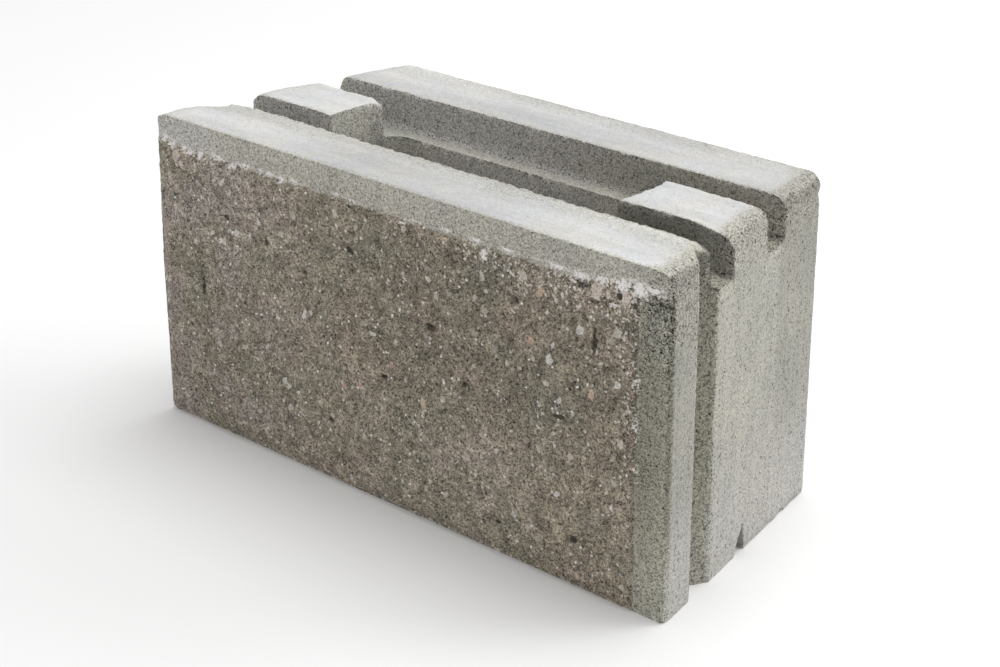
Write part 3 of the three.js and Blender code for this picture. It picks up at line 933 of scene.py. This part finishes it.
# Moulded faces: sand in cement, small open pores, and streaks down the mould's side.
CEMENT_WARM = (0.475, 0.458, 0.398)
CEMENT_COOL = (0.455, 0.450, 0.405)
CEMENT_BLUE = (0.464, 0.449, 0.443)
CEMENT_OLIVE = (0.452, 0.440, 0.352)
CEMENT_BROWN = (0.455, 0.424, 0.371)
CEMENT_CRUMBLED = (0.467, 0.452, 0.402)
cloud = grain(55, 3, 0.55)
streak = grain(14, 3, 0.6, stretch=(1, 1, 0.12))
warmth = ranged(plus(times(streak, 0.6), times(cloud, 0.4)), 0.38, 0.62)
moulded = blended(warmth, CEMENT_COOL, CEMENT_WARM)
moulded = mottled(moulded, streak, 0.94, 1.06)
moulded = mottled(moulded, cloud, 0.93, 1.07)
moulded = blended(carried("cool"), moulded, CEMENT_BLUE)
moulded = blended(carried("olive"), moulded, CEMENT_OLIVE)
moulded = blended(times(carried("brown"), ranged(coarse, 0.3, 0.7)), moulded, CEMENT_BROWN)
moulded = blended(times(crumbled, 0.6), moulded, CEMENT_CRUMBLED)
moulded = shaded(moulded, carried("tone"))
grains = grit(0.75)
speckle = plus(ranged(grains, 0.2, 1.0, -0.26, 0.26), ranged(grains, 0.0, 0.16, -0.30, 0.0))
speckle = plus(speckle, ranged(fine, 0.35, 0.65, -0.16, 0.16))
moulded = shaded(moulded, plus(times(speckle, carried("coarse_sand")), 1.05))
pores = specks(1.3, carried("pored"), 0.42)
holes = specks(3.2, plus(carried("pored"), -0.12), 0.32, 0.4)
moulded = darkened(moulded, pores, 0.40)
moulded = darkened(moulded, holes, 0.42)

# Tops: the fine cement slurry that the press draws up, wiped along the length.
SLURRY = (0.553, 0.558, 0.558)
SLURRY_WARM = (0.572, 0.562, 0.535)
wipe = grain(20, 4, 0.6, stretch=(0.14, 1, 1))
slurry = blended(ranged(grain(34, 3, 0.6), 0.42, 0.66), SLURRY, SLURRY_WARM)
slurry = shaded(slurry, ranged(wipe, 0.35, 0.65, 0.90, 1.12))
slurry = shaded(slurry, carried("tone"))
slurry = shaded(slurry, ranged(fine, 0.32, 0.68, 0.89, 1.09))
slurry = mottled(slurry, sand, 0.95, 1.05)
slurry = mottled(slurry, coarse, 0.94, 1.06)
slurry = darkened(slurry, specks(2.6, 0.10, 0.30, 0.2), 0.74)
bare = plus(crumbled, times(grain(9, 4, 0.7), 0.9))
rubbed = plus(carried("trowelled"), plus(times(fine, 0.9), times(sand, 0.5)))
smooth = times(ranged(rubbed, 1.15, 1.40), ranged(bare, 0.50, 1.0, 1.0, 0.15))
colour = blended(smooth, moulded, slurry)

# The break: mortar in brown and greenish patches, cut sand, pits, and flecks of pale stone.
BREAK_BROWN = (0.330, 0.280, 0.218)
BREAK_GREEN = (0.280, 0.258, 0.200)
BREAK_MAUVE = (0.352, 0.312, 0.278)
STONE_PALE = (0.70, 0.66, 0.61)
STONE_WHITE = (0.90, 0.87, 0.855)
patch = grain(38, 4, 0.62)
broken = blended(ranged(patch, 0.38, 0.64, 0.0, 0.85), BREAK_BROWN, BREAK_GREEN)
broken = blended(times(carried("cool"), ranged(patch, 0.56, 0.44)), broken, BREAK_MAUVE)
broken = shaded(broken, carried("tone"))
broken = mottled(broken, grain(11, 3, 0.6), 0.70, 1.30)
broken = mottled(broken, coarse, 0.80, 1.20)
cut_grains = grit(1.35, 0.7)
cut = plus(ranged(cut_grains, 0.0, 0.20, -0.34, 0.0), ranged(cut_grains, 0.88, 1.0, 0.0, 0.60))
cut = plus(cut, ranged(grit(0.7, 0.3), 0.0, 1.0, -0.70, 0.70))
cut = plus(cut, ranged(sand, 0.3, 0.7, -0.16, 0.16))
broken = shaded(broken, plus(cut, 1.02))
broken = darkened(broken, specks(2.4, 0.10, 0.36, 0.6), 0.36)
broken = blended(times(specks(2.8, 0.06, 0.42, 0.1), 0.80), broken, STONE_PALE)
broken = blended(times(specks(1.8, 0.035, 0.50, 0.8), 0.90), broken, STONE_WHITE)

# The stones' tints by kind, each from the number in front of it up to the next. The dark tint of an
# empty hollow is painted shade.
STONE_TINTS = (
    (0.00, (0.36, 0.33, 0.28)), (0.30, (0.56, 0.51, 0.44)), (0.50, (0.58, 0.45, 0.33)),
    (0.56, (0.52, 0.32, 0.27)), (0.62, (0.20, 0.18, 0.155)), (0.76, (0.15, 0.13, 0.105)),
    (0.84, (0.62, 0.52, 0.46)), (0.92, (0.66, 0.64, 0.60)),
)
inside = ranged(plus(carried("stone"), plus(times(sand, 1.2), times(fine, 0.7))), 1.0, 1.1)
tint = node("ValToRGB", {"Fac": carried("stone_kind")})
ramp = tint.color_ramp
ramp.interpolation = "CONSTANT"
for position, value in STONE_TINTS:
    element = ramp.elements[0] if position == 0 else ramp.elements.new(position)
    element.color = (*value, 1)
ramp.elements.remove(ramp.elements[-1])
stony = shaded(tint.outputs["Color"], plus(times(cut, 0.35), 1.0))
stony = mottled(stony, coarse, 0.86, 1.14)
broken = blended(times(inside, 0.85), broken, stony)
colour = blended(ranged(carried("split"), 0.3, 0.7), colour, broken)

# Pale crushed stone along the torn edges, partly a painted highlight on the ledges, as crumbs, dust
# and packed patches, and painted shade in the pits.
crushed_highlight_share = carried("crushed_and_highlight")
powder_and_highlight = blended(ranged(crushed_highlight_share, 0.35, 0.75), STONE_PALE, STONE_WHITE)
powder_and_highlight = shaded(powder_and_highlight, plus(times(cut, 0.15), 1.0))
crumbs_and_highlight = specks(1.9, times(crushed_highlight_share, 0.9), 0.62, 0.5)
dust_and_highlight = specks(1.0, times(crushed_highlight_share, 0.7), 0.70, 0.9)
packed_and_highlight = ranged(plus(crushed_highlight_share, plus(times(fine, 0.6), times(sand, 0.6))), 1.38, 1.52)
for share, strength in ((crumbs_and_highlight, 0.90), (dust_and_highlight, 0.75), (packed_and_highlight, 0.85)):
    colour = blended(times(share, strength), colour, powder_and_highlight)
# Painted shade in the pits.
colour = shaded(colour, ranged(plus(carried("pit"), times(sand, 0.6)), 0.55, 1.05, 1.0, 0.32))

tree.links.new(colour, shader.inputs["Base Color"])
tree.links.new(ranged(sand, 0.3, 0.7, 0.86, 0.98), shader.inputs["Roughness"])
shader.inputs["Specular IOR Level"].default_value = 0.3

# The finest roughness, too small for the mesh: half a millimetre of sand, with the pores sunk.
SAND_HEIGHT = 0.5
rough = plus(times(sand, 0.9), times(fine, 0.35))
rough = plus(rough, ranged(pores, 0.0, 1.0, 0.0, -0.6))
depth = ranged(carried("split"), 0.0, 1.0, 0.45, 1.0)
bump = node("Bump", {"Strength": 1.0, "Distance": SAND_HEIGHT * MM, "Height": times(rough, depth)})
tree.links.new(bump.outputs["Normal"], shader.inputs["Normal"])

block.data.materials.clear()
block.data.materials.append(concrete)
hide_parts("block")
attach(block, "root")


# ----------------------------------------
# The floor it stands on: plain, pale and wide. To the camera it is paler than in the light that
# it throws back at the block.
# ----------------------------------------
FLOOR_REACH = 8.0
FLOOR_PALE, FLOOR_SEEN = 0.80, 0.89
corners = [(a * FLOOR_REACH, b * FLOOR_REACH, 0) for a, b in ((-1, -1), (1, -1), (1, 1), (-1, 1))]
floor_mesh = bpy.data.meshes.new("floor")
floor_mesh.from_pydata(corners, [], [(0, 1, 2, 3)])
floor = bpy.data.objects.new("floor", floor_mesh)
bpy.context.collection.objects.link(floor)
pale = bpy.data.materials.new("pale_floor")
pale.use_nodes = True
tree = pale.node_tree
floor_shader = tree.nodes["Principled BSDF"]
seen = node("LightPath", {}).outputs["Is Camera Ray"]
pale_grey = shaded((1, 1, 1), ranged(seen, 0, 1, FLOOR_PALE, FLOOR_SEEN))
tree.links.new(pale_grey, floor_shader.inputs["Base Color"])
floor_shader.inputs["Roughness"].default_value = 1.0
floor_shader.inputs["Specular IOR Level"].default_value = 0.0
floor_mesh.materials.append(pale)

# ----------------------------------------
# Studio light: an even white room, brighter to the camera than in the light it gives, and two
# wide lamps, one high above and one behind and to the right.
# ----------------------------------------
world = bpy.data.worlds.new("room")
bpy.context.scene.world = world
world.use_nodes = True
tree = world.node_tree
room = tree.nodes["Background"]
ROOM_LIGHT = 0.62
seen = node("LightPath", {}).outputs["Is Camera Ray"]
room.inputs["Color"].default_value = (1, 1, 1, 1)
tree.links.new(ranged(seen, 0, 1, ROOM_LIGHT, 1.0), room.inputs["Strength"])

for name, hung_at, width, power in (
    ("lamp_above", (0.3, 0.6, 3.0), 2.4, 50),
    ("lamp_behind", (1.9, 2.2, 1.5), 1.8, 32),
):
    light = bpy.data.lights.new(name, "AREA")
    light.shape = "DISK"
    light.size = width
    light.energy = power
    lamp = bpy.data.objects.new(name, light)
    lamp.location = hung_at
    lamp.rotation_euler = (-lamp.location).to_track_quat("-Z", "Y").to_euler()
    bpy.context.collection.objects.link(lamp)

# ----------------------------------------
# The camera: to the right of the front and above, looking down on it.
# ----------------------------------------
CAMERA_AT = (0.80204, -0.86039, 0.58249)
TURNED, DOWN, ROLL = math.radians(42.82), math.radians(23.09), math.radians(-0.15)
camera_data = bpy.data.cameras.new("camera")
camera_data.sensor_width = 36.0
camera_data.lens = 77.82
camera = bpy.data.objects.new("camera", camera_data)
bpy.context.collection.objects.link(camera)
camera.matrix_world = (
    Matrix.Translation(CAMERA_AT)
    @ Matrix.Rotation(TURNED, 4, "Z")
    @ Matrix.Rotation(math.pi / 2 - DOWN, 4, "X")
    @ Matrix.Rotation(ROLL, 4, "Z")
)
bpy.context.scene.camera = camera
bpy.context.scene.view_settings.view_transform = "Standard"
